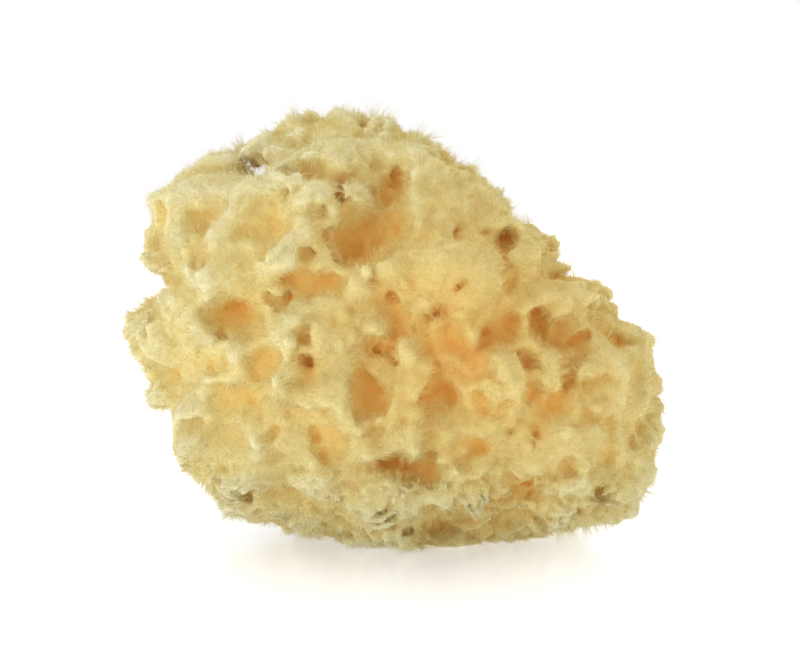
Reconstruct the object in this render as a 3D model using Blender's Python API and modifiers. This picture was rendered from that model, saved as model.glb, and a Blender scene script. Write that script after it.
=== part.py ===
"""A natural honeycomb sea sponge, cut flat where it grew on the rock, as one solid.

Run with: blender --background --python part.py
+X runs along the sponge's length, to the right seen from its front, +Y points to its back and +Z up.
The origin is on the flat cut that it rests on. Sizes are in millimetres until they reach a mesh.
"""

import math

import bmesh
import bpy
import numpy as np
from mathutils import Matrix, Vector

MM = 0.001

# Driving dimensions of the grown lump
CENTRE = np.array([-1.0, 0.0, 57.8])
FRONT_DEPTH = 49.0
BACK_DEPTH = 52.0
FULLNESS = 2.35  # 2 is an ellipse through the middle, and more is squarer
LEAN = 0.05  # how far the top leans back, for each millimetre of height
# The outline seen from the front: its distance from the centre every 10 degrees, from +X towards +Z
OUTLINE = np.array(
    [
        64.5, 57.5, 47, 46, 44.5, 44, 45.5, 47.5, 48.5,
        54.5, 56.5, 61, 62.5, 64.5, 70, 76, 73.5, 67.5,
        75.5, 70.5, 71.5, 67.5, 67.5, 65, 62, 59.5, 63,
        65, 67, 68, 69.5, 71.5, 75, 79.5, 76.5, 74.5,
    ]
)  # fmt: skip

# Soft lumps over the whole skin
LUMP_SEED = 11
LUMP_WAVES = 22
LUMP_HEIGHT = 0.75
LUMP_LENGTHS = (13.0, 38.0)

# Hollows of the front face: x, z, width, height, turn in degrees, depth
FRONT_HOLLOWS = (
    (-7.0, 88.5, 25.5, 13.5, 6, 12.5),
    (-3.5, 103.5, 11.5, 12.5, 0, 5.5),
    (-24.5, 102.0, 11.0, 6.0, 14, 4.5),
    (-38.0, 88.0, 12.0, 9.0, 0, 3.2),
    (-54.0, 90.5, 12.0, 6.0, -8, 2.6),
    (-52.3, 81.0, 5.5, 6.5, 0, 4.0),
    (-44.5, 63.0, 14.5, 12.5, 15, 9.5),
    (-50.0, 51.5, 14.0, 8.0, -5, 5.0),
    (-25.0, 71.0, 18.0, 9.0, 8, 8.0),
    (-37.3, 53.5, 7.5, 5.0, 0, 5.0),
    (-44.0, 40.8, 12.7, 12.5, -20, 5.5),
    (-24.0, 51.8, 7.5, 10.5, 0, 6.0),
    (-4.4, 54.3, 7.5, 5.5, 0, 6.0),
    (-9.2, 45.5, 7.6, 12.5, 0, 6.5),
    (-2.0, 65.0, 6.0, 6.0, 0, 4.0),
    (10.5, 66.2, 6.8, 5.2, 0, 6.5),
    (12.5, 57.0, 10.5, 13.5, -30, 9.0),
    (19.0, 53.5, 9.0, 9.5, 0, 8.5),
    (12.5, 41.7, 12.5, 10.0, 10, 7.0),
    (22.3, 43.0, 5.8, 8.0, 0, 5.5),
    (30.0, 61.5, 9.5, 12.5, -25, 7.5),
    (35.3, 51.7, 7.0, 7.2, 0, 5.5),
    (45.5, 59.5, 12.0, 10.5, 0, 9.0),
    (46.3, 50.0, 7.5, 12.0, -8, 8.5),
    (44.0, 71.8, 10.0, 6.5, 0, 5.0),
    (38.5, 42.5, 12.0, 7.0, -15, 6.0),
    (54.5, 44.5, 10.0, 6.5, 0, 3.5),
    (50.8, 38.0, 6.5, 6.0, 0, 5.0),
    (-18.5, 30.8, 11.0, 15.0, 8, 8.0),
    (-0.8, 22.6, 19.5, 7.5, -4, 9.0),
    (27.0, 84.5, 10.0, 5.5, 15, 5.0),
    (40.5, 26.3, 7.0, 8.0, 0, 5.0),
    (57.0, 25.5, 7.0, 6.5, 0, 3.5),
    (-41.0, 15.5, 7.0, 10.0, 10, 4.0),
    (-4.0, 12.5, 11.0, 5.0, 5, 3.5),
    (35.5, 14.5, 9.0, 8.0, 0, 6.5),
    (51.5, 13.5, 10.0, 5.5, 0, 4.5),
)  # fmt: skip

# Holes and notches in the thin rim, and the undercut of the foot:
# x, y, z, width, height, turn in degrees, half length from front to back
RIM_HOLLOWS = (
    (-38.0, 2.0, 103.5, 8.5, 8.0, -25, 45),
    (29.0, 2.0, 91.0, 5.0, 6.0, 0, 24),
    (-70.5, 0.0, 69.5, 15.0, 6.5, -8, 20),
    (-66.5, -1.0, 33.5, 14.0, 6.0, 0, 22),
    (-65.5, -1.0, 26.0, 11.0, 4.5, 8, 18),
    (75.0, -1.0, 37.0, 9.0, 5.0, 0, 15),
    (25.0, -33.0, 2.0, 40.0, 20.0, 4, 13),
)  # fmt: skip

# Hollows of the sides, the back and the top, spread evenly by the seed
FAR_SEED = 5
FAR_HOLLOWS = 84
FAR_TRIES = 400
FAR_WIDTHS = (7.5, 12.5)
FAR_FLATNESS = (0.6, 1.0)
FAR_DEPTHS = (4.5, 9.0)
FAR_START = -0.30  # the y of the unit direction where the front face's own hollows end
FAR_LOWEST = -0.62  # the z of the unit direction below which the cut face lies
FAR_SHALLOWEST = 0.5  # share of its depth that a hollow keeps at the very rim of the outline

SINK = 0.22  # share of a hollow's depth that its middle lies under the skin
FLARE = 0.65  # how much wider a hollow's mouth grows, as a share, over its outer half
FLARE_START = 0.25  # how deep the flare starts, as a share of the hollow's half depth
STRAIGHT_IN = 0.6  # how far a front hollow runs straight back and not square to the skin

# Broad folds of the front: half width, rise and the corners of the line that each follows, x and z
BROAD_FOLDS = (
    (3.2, 2.4, ((-15, 77.5), (-27, 77.5), (-35, 74), (-43, 70), (-51, 66.5))),
    (3.0, 1.4, ((-8, 78), (0, 78.5), (7, 82))),
    (2.6, 1.6, ((-37, 70), (-35.5, 63), (-33.5, 55))),
    (3.2, 1.8, ((-67.5, 94), (-54, 98.5), (-40.5, 97), (-30, 99.5))),
    (2.8, 1.6, ((-48, 97.5), (-22.5, 101.5), (-15.5, 103))),
    (2.8, 1.6, ((-35, 91), (-24.5, 95), (-17, 92))),
    (2.2, 1.5, ((-62, 78), (-50, 73), (-38, 76), (-30, 84))),
    (3.5, 2.0, ((10, 30), (11, 31))),
    (2.5, 1.6, ((-58, 30), (-40, 27), (-25, 20), (-15, 21))),
    (2.5, 1.4, ((-45, 12), (-38, 27))),
    (1.2, -1.2, ((-32.5, 93.5), (-27, 97))),
    (1.5, -1.6, ((62.5, 35.5), (62, 29.5), (60.5, 23.5))),
    (2.2, 1.2, ((58.5, 36), (58.5, 28), (56.5, 21))),
)
FOLDS_START = 8.0  # how far in front of the middle the folds reach their full height

# Gentle waves that make the hollows' rims uneven
WARP_SEED = 23
WARP_WAVES = 10
WARP_REACH = 0.55
WARP_LENGTHS = (9.0, 22.0)

NORMAL_STEP = 0.03  # how far to the sides of a unit direction its normal is measured
OUTERMOST = 0.995  # share of the outline's radius past which a front hollow is placed at the rim

# Fineness of the faceted solid
SKIN_STEPS = 6
HOLLOW_STEPS = 3
VOXEL = 1.3
SOFTENING = 3
FACES = 9800
CUTTER_SIDE = 260.0


def waves(seed, count, lengths):
    """Seeded plane waves: their wave vectors, in radians a millimetre, and their phases."""
    random = np.random.default_rng(seed)
    directions = random.normal(size=(count, 3))
    directions /= np.linalg.norm(directions, axis=1)[:, None]
    turns = 2 * np.pi / random.uniform(*lengths, size=count)
    return directions * turns[:, None], random.uniform(0, 2 * np.pi, size=count)


def lumps(places):
    """Height of the soft lumps at each place: the sum of the lump waves."""
    vectors, phases = waves(LUMP_SEED, LUMP_WAVES, LUMP_LENGTHS)
    return LUMP_HEIGHT * np.sin(places @ vectors.T + phases).sum(axis=1)


def warp(places):
    """A small sideways shift at each place, from one set of waves for each axis."""
    shift = np.empty_like(places)
    for axis in range(3):
        vectors, phases = waves(WARP_SEED + axis, WARP_WAVES, WARP_LENGTHS)
        shift[:, axis] = WARP_REACH * np.sin(places @ vectors.T + phases).sum(axis=1)
    return shift


def outline_radius(angles):
    """The outline's radius at each angle, by a closed Catmull-Rom curve through OUTLINE."""
    count = len(OUTLINE)
    steps = np.degrees(angles) % 360 / (360 / count)
    index = np.floor(steps).astype(int)
    t = steps - index
    a, b, c, d = (OUTLINE[(index + k) % count] for k in (-1, 0, 1, 2))
    return b + t / 2 * (c - a + t * (2 * a - 5 * b + 4 * c - d + t * (3 * (b - c) + d - a)))


def reach(directions):
    """How far the grown lump reaches from its centre along each unit direction."""
    x, y, z = directions.T
    flat = np.hypot(x, z) / outline_radius(np.arctan2(z, x))
    deep = np.abs(y) / np.where(y < 0, FRONT_DEPTH, BACK_DEPTH)
    return (flat**FULLNESS + deep**FULLNESS) ** (-1 / FULLNESS)


def skin(directions):
    """Points of the skin along unit directions from the centre, with its lumps and its lean."""
    offsets = directions * reach(directions)[:, None]
    offsets += directions * lumps(offsets + CENTRE)[:, None]
    offsets[:, 1] += LEAN * offsets[:, 2]
    return offsets + CENTRE


def fold_height(places):
    """The folds' rise at each place: each rises times exp(-(distance from its line / half width)**2),
    measured in the front view, and fades out towards the back."""
    x, y, z = places.T
    height = np.zeros(len(places))
    for half_width, rise, corners in BROAD_FOLDS:
        nearest = np.full(len(places), np.inf)
        for (from_x, from_z), (to_x, to_z) in zip(corners, corners[1:]):
            along_x, along_z = to_x - from_x, to_z - from_z
            t = ((x - from_x) * along_x + (z - from_z) * along_z) / (along_x**2 + along_z**2)
            t = np.clip(t, 0, 1)
            nearest = np.minimum(nearest, np.hypot(x - from_x - t * along_x, z - from_z - t * along_z))
        height += rise * np.exp(-((nearest / half_width) ** 2))
    return height * np.clip(-y / FOLDS_START, 0, 1)


def skin_normal(direction):
    """The skin's outward normal, from two short steps to the sides of a unit direction."""
    side = Vector(direction).orthogonal().normalized()
    other = Vector(direction).cross(side)
    near = np.array([direction + NORMAL_STEP * np.array(w) for w in (side, -side, other, -other)])
    near /= np.linalg.norm(near, axis=1)[:, None]
    a, b, c, d = skin(near)
    return Vector(np.cross(a - b, c - d)).normalized()


def front_direction(x, z):
    """The unit direction from the centre to the front skin at a place x, z of the outline."""
    across = np.array([x, z]) - CENTRE[[0, 2]]
    share = np.hypot(*across) / outline_radius(np.arctan2(across[1], across[0]))
    deep = FRONT_DEPTH * max(1 - min(share, OUTERMOST) ** FULLNESS, 0.0) ** (1 / FULLNESS)
    return np.array(Vector((across[0], -deep, across[1])).normalized())


def spread_directions():
    """Even unit directions over the sides, the back and the top, by the best of many seeded tries."""
    random = np.random.default_rng(FAR_SEED)
    front = [front_direction(x, z) for x, z, *_ in FRONT_HOLLOWS]
    chosen = []
    while len(chosen) < FAR_HOLLOWS:
        tries = random.normal(size=(FAR_TRIES, 3))
        tries /= np.linalg.norm(tries, axis=1)[:, None]
        tries = tries[(tries[:, 1] > FAR_START) & (tries[:, 2] > FAR_LOWEST)]
        nearest = (tries @ np.array(front + chosen).T).max(axis=1)
        chosen.append(tries[nearest.argmin()])
    return chosen


def linked(name, mesh, collection):
    """A new object with this mesh, in this collection."""
    made = bpy.data.objects.new(name, mesh)
    collection.objects.link(made)
    return made


def round_mesh(name, steps):
    """A unit icosphere."""
    mesh = bpy.data.meshes.new(name)
    shape = bmesh.new()
    bmesh.ops.create_icosphere(shape, subdivisions=steps, radius=1.0)
    shape.to_mesh(mesh)
    shape.free()
    return mesh


def points_of(mesh):
    """The mesh's vertices as an array."""
    points = np.empty(len(mesh.vertices) * 3)
    mesh.vertices.foreach_get("co", points)
    return points.reshape(-1, 3)


def move_points(mesh, points):
    """Puts the mesh's vertices at these places, given in millimetres."""
    mesh.vertices.foreach_set("co", (points * MM).ravel())
    mesh.update()


def add_hollow(number, place, inward, width, height, turn, depth, collection):
    """A cutter for one hollow: a ball stretched to its size, set in from the skin and unevenly bent."""
    inward = Vector(inward).normalized()
    up = Vector((0, 0, 1))
    across = inward.cross(up).normalized()
    up = across.cross(inward)
    frame = Matrix((across, inward, up)).transposed()
    frame = frame @ Matrix.Rotation(-math.radians(turn), 3, "Y")
    mesh = round_mesh(f"hollow_{number:03d}", HOLLOW_STEPS)
    points = points_of(mesh)
    flare = 1 + FLARE * np.clip(FLARE_START - points[:, 1], 0, 1)
    points[:, [0, 2]] *= flare[:, None]
    points *= (width / 2, depth, height / 2)
    points = points @ np.array(frame).T + np.array(place) + SINK * depth * np.array(inward)
    move_points(mesh, points + warp(points))
    cutter = linked(mesh.name, mesh, collection)
    cutter.hide_render = True
    cutter.display_type = "WIRE"


def add_hollows(collection):
    """The cutters of every hollow: the front's and the rim's own, and those spread over the rest."""
    made = 0
    for x, z, width, height, turn, depth in FRONT_HOLLOWS:
        direction = front_direction(x, z)
        place = skin(direction[None])[0]
        straight = Vector((0, 1, 0)) * STRAIGHT_IN
        inward = straight - skin_normal(direction) * (1 - STRAIGHT_IN)
        add_hollow(made, place, inward, width, height, turn, depth, collection)
        made += 1
    for x, y, z, width, height, turn, depth in RIM_HOLLOWS:
        add_hollow(made, (x, y, z), (0, 1, 0), width, height, turn, depth, collection)
        made += 1
    random = np.random.default_rng(FAR_SEED)
    for direction in spread_directions():
        place = skin(direction[None])[0]
        width = random.uniform(*FAR_WIDTHS)
        height = width * random.uniform(*FAR_FLATNESS)
        depth = random.uniform(*FAR_DEPTHS)
        depth *= FAR_SHALLOWEST + (1 - FAR_SHALLOWEST) * abs(direction[1])
        turn = random.uniform(0, 180)
        inward = -skin_normal(direction)
        add_hollow(made, place, inward, width, height, turn, depth, collection)
        made += 1


def evaluated_copy(source, name, collection):
    """The object as its modifiers leave it, as a new plain mesh object."""
    graph = bpy.context.evaluated_depsgraph_get()
    mesh = bpy.data.meshes.new_from_object(source.evaluated_get(graph))
    mesh.name = name
    return linked(name, mesh, collection)


def keep_largest_piece(mesh):
    """Deletes every loose island of the mesh but its largest."""
    shape = bmesh.new()
    shape.from_mesh(mesh)
    left = set(shape.verts)
    largest = set()
    while left:
        island = set()
        found = {next(iter(left))}
        while found:
            island |= found
            found = {e.other_vert(v) for v in found for e in v.link_edges} - island
        left -= island
        largest = max(largest, island, key=len)
    bmesh.ops.delete(shape, geom=[v for v in shape.verts if v not in largest], context="VERTS")
    shape.to_mesh(mesh)
    shape.free()


def sponge_material():
    """Dry, pale golden sponge fibre."""
    material = bpy.data.materials.new("sponge fibre")
    material.use_nodes = True
    shader = material.node_tree.nodes["Principled BSDF"]
    shader.inputs["Base Color"].default_value = (0.76, 0.56, 0.24, 1)
    shader.inputs["Roughness"].default_value = 0.95
    shader.inputs["Metallic"].default_value = 0.0
    return material


def below_floor(collection):
    """The box that cuts the foot of the lump off flat at z = 0."""
    mesh = bpy.data.meshes.new("floor cut")
    shape = bmesh.new()
    bmesh.ops.create_cube(shape, size=CUTTER_SIDE)
    shape.to_mesh(mesh)
    shape.free()
    move_points(mesh, points_of(mesh) - (0, 0, CUTTER_SIDE / 2))
    cutter = linked("floor cut", mesh, collection)
    cutter.hide_render = True
    cutter.display_type = "WIRE"
    return cutter


def add_cut(target, name, cutter):
    """An exact Boolean difference of one cutter, or of a collection of them, on the target."""
    cut = target.modifiers.new(name, "BOOLEAN")
    cut.operation = "DIFFERENCE"
    cut.solver = "EXACT"
    if isinstance(cutter, bpy.types.Collection):
        cut.operand_type = "COLLECTION"
        cut.collection = cutter
    else:
        cut.object = cutter


def main():
    for old in list(bpy.data.objects):
        bpy.data.objects.remove(old)
    sponge_parts = bpy.data.collections.new("sea sponge")
    cutters = bpy.data.collections.new("cutters")
    hollows = bpy.data.collections.new("hollows")
    bpy.context.scene.collection.children.link(sponge_parts)
    bpy.context.scene.collection.children.link(cutters)
    cutters.children.link(hollows)

    # The grown lump with its hollows cut out
    lump = linked("lump", round_mesh("lump", SKIN_STEPS), cutters)
    directions = points_of(lump.data)
    places = skin(directions)
    move_points(lump.data, places + directions * fold_height(places)[:, None])
    add_hollows(hollows)
    add_cut(lump, "hollows", hollows)
    lump.hide_render = True
    lump.display_type = "WIRE"

    # One even skin, softened as grown fibre is
    even = lump.modifiers.new("even", "REMESH")
    even.mode = "VOXEL"
    even.voxel_size = VOXEL * MM
    soften = lump.modifiers.new("soften", "SMOOTH")
    soften.iterations = SOFTENING

    # Thinned to its faces and cut flat where it rests
    grown = evaluated_copy(lump, "grown", cutters)
    grown.hide_render = True
    grown.display_type = "WIRE"
    keep_largest_piece(grown.data)
    thin = grown.modifiers.new("thin", "DECIMATE")
    thin.ratio = FACES / (2 * len(grown.data.polygons))
    add_cut(grown, "floor", below_floor(cutters))

    sponge = evaluated_copy(grown, "sponge", sponge_parts)
    keep_largest_piece(sponge.data)
    sponge.data.materials.clear()
    sponge.data.materials.append(sponge_material())


if __name__ == "__main__":
    main()
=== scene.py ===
import bpy
import mathutils
import numpy as np
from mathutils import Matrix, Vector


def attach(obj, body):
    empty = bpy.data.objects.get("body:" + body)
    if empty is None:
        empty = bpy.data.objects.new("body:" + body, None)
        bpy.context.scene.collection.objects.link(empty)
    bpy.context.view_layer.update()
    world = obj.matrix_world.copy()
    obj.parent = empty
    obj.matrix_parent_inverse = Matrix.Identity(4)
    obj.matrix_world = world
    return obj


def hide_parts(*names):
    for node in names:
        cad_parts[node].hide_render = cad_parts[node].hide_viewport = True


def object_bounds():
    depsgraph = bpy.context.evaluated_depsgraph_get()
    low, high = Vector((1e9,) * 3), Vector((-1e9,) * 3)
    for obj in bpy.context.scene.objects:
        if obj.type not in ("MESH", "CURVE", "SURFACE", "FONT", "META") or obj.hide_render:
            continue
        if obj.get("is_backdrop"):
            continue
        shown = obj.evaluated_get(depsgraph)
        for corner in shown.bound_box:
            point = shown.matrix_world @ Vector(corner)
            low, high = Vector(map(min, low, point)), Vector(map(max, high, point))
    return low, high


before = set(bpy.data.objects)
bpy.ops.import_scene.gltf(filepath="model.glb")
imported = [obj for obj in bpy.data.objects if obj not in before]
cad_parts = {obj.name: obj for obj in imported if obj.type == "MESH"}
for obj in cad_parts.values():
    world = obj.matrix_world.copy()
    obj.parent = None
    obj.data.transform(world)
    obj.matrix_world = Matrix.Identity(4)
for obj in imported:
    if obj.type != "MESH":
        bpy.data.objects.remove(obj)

solid_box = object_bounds()

# The grown lump
# One lump of dry spongin fibre, grown round its own water channels, and cut from the rock with a
# knife. It is shaped as a field of distances, in millimetres: less than zero is inside the fibre.
MM = 0.001
CENTRE = np.array([-1.0, 0.0, 57.8])
FRONT_DEPTH = 49.0
BACK_DEPTH = 52.0
FULLNESS = 2.35  # 2 is an ellipse through the middle, and more is squarer
LEAN = 0.05  # how far the top leans back, for each millimetre of height
# The outline seen from the front: its distance from the centre every 10 degrees, from +X towards +Z
OUTLINE = np.array(
    [
        64.5, 57.5, 47, 46, 44.5, 44, 45.5, 47.5, 48.5,
        54.5, 56.5, 61, 62.5, 64.5, 70, 76, 73.5, 67.5,
        75.5, 70.5, 71.5, 67.5, 67.5, 65, 62, 59.5, 63,
        65, 67, 68, 69.5, 71.5, 75, 79.5, 76.5, 74.5,
    ]
)  # fmt: skip
LUMP_SEED = 11
LUMP_WAVES = 22
LUMP_HEIGHT = 0.75
LUMP_LENGTHS = (13.0, 38.0)

NOISE_SPREAD = 0.33  # how far splines through a lattice of spread 1 spread themselves
CELL = 0.8  # the field's spacing
FIELD_LOW = np.array([-84.0, -60.0, -2.4])
FIELD_HIGH = np.array([84.0, 64.0, 127.0])
axes = [np.arange(low, high, CELL) for low, high in zip(FIELD_LOW, FIELD_HIGH)]
grid_x, grid_y, grid_z = np.meshgrid(*[a.astype(np.float32) for a in axes], indexing="ij", sparse=True)


def waves(seed, count, lengths):
    """Seeded plane waves: their wave vectors, in radians a millimetre, and their phases."""
    random = np.random.default_rng(seed)
    directions = random.normal(size=(count, 3))
    directions /= np.linalg.norm(directions, axis=1)[:, None]
    turns = 2 * np.pi / random.uniform(*lengths, size=count)
    return directions * turns[:, None], random.uniform(0, 2 * np.pi, size=count)


def wave_sum(x, y, z, seed, count, lengths):
    """The sum of the sines of the seeded plane waves at each place."""
    total = np.zeros(np.broadcast_shapes(x.shape, y.shape, z.shape), np.float32)
    for vector, phase in zip(*waves(seed, count, lengths)):
        kx, ky, kz, start = (np.float32(value) for value in (*vector, phase))
        total += np.sin(kx * x + ky * y + kz * z + start)
    return total


def outline_radius(angles):
    """The outline's radius at each angle, by a closed Catmull-Rom curve through OUTLINE."""
    count = len(OUTLINE)
    steps = np.degrees(angles) % 360 / (360 / count)
    index = np.floor(steps).astype(int) % count
    t = steps - np.floor(steps)
    a, b, c, d = (OUTLINE[(index + k) % count] for k in (-1, 0, 1, 2))
    return b + t / 2 * (c - a + t * (2 * a - 5 * b + 4 * c - d + t * (3 * (b - c) + d - a)))


def reach(x, y, z):
    """How far the lump reaches from its centre along each unit direction: a superellipse whose
    half widths are the outline's radius and the front or the back depth."""
    flat = np.hypot(x, z) / outline_radius(np.arctan2(z, x))
    deep = np.abs(y) / np.where(y < 0, FRONT_DEPTH, BACK_DEPTH)
    return (flat**FULLNESS + deep**FULLNESS) ** (-1 / FULLNESS)


def soft_noise(seed, spacing, stretch=(1, 1, 1)):
    """Smooth noise of about unit height over the field: cubic B-splines through a random lattice."""
    random = np.random.default_rng(seed)
    weights = []
    for values, longer in zip(axes, stretch):
        steps = (values - values[0]) / (spacing * longer) + 1
        index = np.floor(steps).astype(int)
        t = steps - index
        rows = np.zeros((len(values), index[-1] + 4), np.float32)
        shares = ((1 - t) ** 3, 3 * t**3 - 6 * t**2 + 4, 3 * t * (1 + t - t**2) + 1, t**3)
        for offset, share in enumerate(shares):
            rows[np.arange(len(values)), index - 1 + offset] = share / 6
        weights.append(rows)
    lattice = random.normal(size=[w.shape[1] for w in weights]).astype(np.float32)
    lattice = np.tensordot(weights[0], lattice, (1, 0))
    lattice = np.tensordot(weights[1], lattice, (1, 1)).transpose(1, 0, 2)
    return np.tensordot(lattice, weights[2], (2, 1)) / np.float32(NOISE_SPREAD)


from_x, from_z = grid_x - CENTRE[0], grid_z - CENTRE[2]
from_y = grid_y - LEAN * from_z
length = np.sqrt(from_x**2 + from_y**2 + from_z**2) + 0.01  # never zero, also at the centre
skin_length = reach(from_x / length, from_y / length, from_z / length)
share = skin_length / length
on_skin = (share * from_x + CENTRE[0], share * from_y, share * from_z + CENTRE[2])
skin_length += LUMP_HEIGHT * wave_sum(*on_skin, LUMP_SEED, LUMP_WAVES, LUMP_LENGTHS)
hull = (length - skin_length).astype(np.float32)
del share, on_skin, skin_length

# The hollows
# The mouths of the water channels: rounded pits with soft flared rims that stand close together
# like a honeycomb. Those of the front are in their own places, and the rest spread out evenly.

# Hollows of the front: x, z, width, height, turn in degrees, depth
FRONT_HOLLOWS = (
    (-7.0, 88.5, 25.5, 13.5, 6, 12.5),
    (-3.5, 103.5, 11.5, 12.5, 0, 5.5),
    (-24.5, 102.0, 11.0, 6.0, 14, 4.5),
    (-38.0, 88.0, 12.0, 9.0, 0, 3.2),
    (-54.0, 90.5, 12.0, 6.0, -8, 2.6),
    (-52.3, 81.0, 5.5, 6.5, 0, 4.0),
    (-44.5, 63.0, 14.5, 12.5, 15, 9.5),
    (-50.0, 51.5, 14.0, 8.0, -5, 5.0),
    (-25.0, 71.0, 18.0, 9.0, 8, 8.0),
    (-37.3, 53.5, 7.5, 5.0, 0, 5.0),
    (-44.0, 40.8, 12.7, 12.5, -20, 5.5),
    (-24.0, 51.8, 7.5, 10.5, 0, 6.0),
    (-4.4, 54.3, 7.5, 5.5, 0, 6.0),
    (-9.2, 45.5, 7.6, 12.5, 0, 6.5),
    (-2.0, 65.0, 6.0, 6.0, 0, 4.0),
    (10.5, 66.2, 6.8, 5.2, 0, 6.5),
    (12.5, 57.0, 10.5, 13.5, -30, 9.0),
    (19.0, 53.5, 9.0, 9.5, 0, 8.5),
    (12.5, 41.7, 12.5, 10.0, 10, 7.0),
    (22.3, 43.0, 5.8, 8.0, 0, 5.5),
    (30.0, 61.5, 9.5, 12.5, -25, 7.5),
    (35.3, 51.7, 7.0, 7.2, 0, 5.5),
    (45.5, 59.5, 12.0, 10.5, 0, 9.0),
    (46.3, 50.0, 7.5, 12.0, -8, 8.5),
    (44.0, 71.8, 10.0, 6.5, 0, 5.0),
    (38.5, 42.5, 12.0, 7.0, -15, 6.0),
    (54.5, 44.5, 10.0, 6.5, 0, 3.5),
    (50.8, 38.0, 6.5, 6.0, 0, 5.0),
    (-18.5, 30.8, 11.0, 15.0, 8, 8.0),
    (-0.8, 22.6, 19.5, 7.5, -4, 9.0),
    (27.0, 84.5, 10.0, 5.5, 15, 5.0),
    (40.5, 26.3, 7.0, 8.0, 0, 5.0),
    (57.0, 25.5, 7.0, 6.5, 0, 3.5),
    (-41.0, 15.5, 7.0, 10.0, 10, 4.0),
    (-4.0, 12.5, 11.0, 5.0, 5, 3.5),
    (35.5, 14.5, 9.0, 8.0, 0, 6.5),
    (51.5, 13.5, 10.0, 5.5, 0, 4.5),
)  # fmt: skip
# Pits of the front too small for the solid, in the same order
FRONT_PITS = (
    (-19.0, 108.8, 6.5, 3.2, 0, 2.5),
    (-23.0, 81.2, 5.0, 5.2, 0, 3.0),
    (-35.0, 47.5, 4.5, 7.0, 0, 3.0),
    (-23.0, 60.2, 5.8, 3.4, 0, 4.0),
    (-4.3, 70.3, 3.4, 5.6, 0, 3.2),
    (-2.8, 76.6, 3.6, 5.8, 0, 2.6),
    (16.0, 70.8, 6.0, 3.6, 20, 2.6),
    (22.3, 50.3, 4.2, 4.4, 0, 4.0),
    (19.5, 47.0, 3.8, 3.6, 0, 3.5),
    (22.1, 28.6, 3.6, 4.8, 0, 4.0),
    (16.2, 25.5, 8.5, 4.6, -15, 2.6),
    (36.2, 21.3, 8.0, 3.8, 0, 3.5),
    (-2.0, 14.6, 5.2, 3.6, 0, 3.0),
    (53.0, 33.5, 4.0, 3.8, 0, 2.6),
    (8.5, 31.0, 3.8, 5.6, 10, 2.6),
    (-45.5, 22.0, 6.0, 4.0, 30, 2.6),
    (15.5, 91.5, 4.0, 3.2, 30, 3.0),
    (56.5, 63.0, 3.4, 5.0, 0, 2.6),
    (0.8, 38.0, 4.2, 4.0, 0, 2.2),
    (5.0, 16.5, 5.0, 3.2, -8, 2.4),
    (-12.0, 17.5, 5.0, 3.0, 0, 2.2),
    (30.0, 31.5, 4.2, 3.4, 15, 2.6),
    (-33.0, 34.0, 4.2, 3.6, 20, 2.2),
)  # fmt: skip
# Holes and notches in the thin rim, and the undercut of the foot:
# x, y, z, width, height, turn in degrees, half length from front to back
RIM_HOLLOWS = (
    (-38.0, 2.0, 102.3, 8.5, 8.0, -25, 45),
    (29.0, 2.0, 91.0, 5.0, 6.0, 0, 24),
    (-70.5, 0.0, 69.5, 15.0, 6.5, -8, 20),
    (-66.5, -1.0, 33.5, 14.0, 6.0, 0, 22),
    (-65.5, -1.0, 26.0, 11.0, 4.5, 8, 18),
    (75.0, -1.0, 37.0, 9.0, 5.0, 0, 15),
    (25.0, -33.0, 2.0, 40.0, 20.0, 4, 13),
)  # fmt: skip
FAR_SEED = 5
FAR_HOLLOWS = 84
FAR_TRIES = 400
FAR_WIDTHS = (7.5, 12.5)
FAR_FLATNESS = (0.6, 1.0)
FAR_DEPTHS = (4.5, 9.0)
FAR_START = -0.30  # the y of the unit direction where the front face's own hollows end
FAR_LOWEST = -0.62  # the z of the unit direction below which the cut face lies
SINK = 0.22  # share of a hollow's depth that its middle lies under the skin
FLARE = 0.65  # how much wider a hollow's mouth grows, as a share, over its outer half
FLARE_START = 0.25  # how deep the flare starts, as a share of the hollow's half depth
FAR_SHALLOWEST = 0.5  # share of its depth that a hollow keeps at the very rim of the outline
STRAIGHT_IN = 0.6  # how far a front hollow runs straight back and not square to the skin
OUTERMOST = 0.995  # share of the outline's radius past which a front hollow isn't placed
NORMAL_STEP = 0.03  # the steps to the sides that the skin's normal is taken from
CARVED_SPAN = 1.3  # the block that is worked on for a hollow, against its largest size
CARVED_MARGIN = 4.0
LEAST_SLOPE = 0.03
WARP_SEED = 23
WARP_WAVES = 10
WARP_REACH = 0.55
WARP_LENGTHS = (9.0, 22.0)
RIM_ROUNDING = 0.3  # how softly a hollow's rim turns over, as a share of its smaller width
FELTING_ROUNDS = 2  # how often the field is averaged with its neighbours, which fills the finest cracks
PIT_SEED = 72
PITS = 340  # small pits strewn over the whole skin but the front
DENSE_PITS = 90  # and those of the front, most where its cells are smallest
DENSE_MIDDLE = (24.0, 50.0)
DENSE_REACH = (20.0, 14.0)
PIT_WIDTHS = (2.4, 4.8)
PIT_DEPTHS = (1.2, 2.4)


def skin_points(directions):
    """Points of the skin along unit directions, as rows: centre plus reach, lumps and lean."""
    offsets = directions * reach(*directions.T)[:, None]
    places = (offsets + CENTRE).astype(np.float32)
    offsets += directions * LUMP_HEIGHT * wave_sum(*places.T, LUMP_SEED, LUMP_WAVES, LUMP_LENGTHS)[:, None]
    offsets[:, 1] += LEAN * offsets[:, 2]
    return offsets + CENTRE


def unit(vector):
    """The vector at length 1."""
    return np.asarray(vector, float) / np.linalg.norm(vector)


def sideways(vector):
    """Two unit vectors square to this one and to each other."""
    side = unit(np.cross(vector, np.eye(3)[np.abs(vector).argmin()]))
    return side, np.cross(vector, side)


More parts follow.
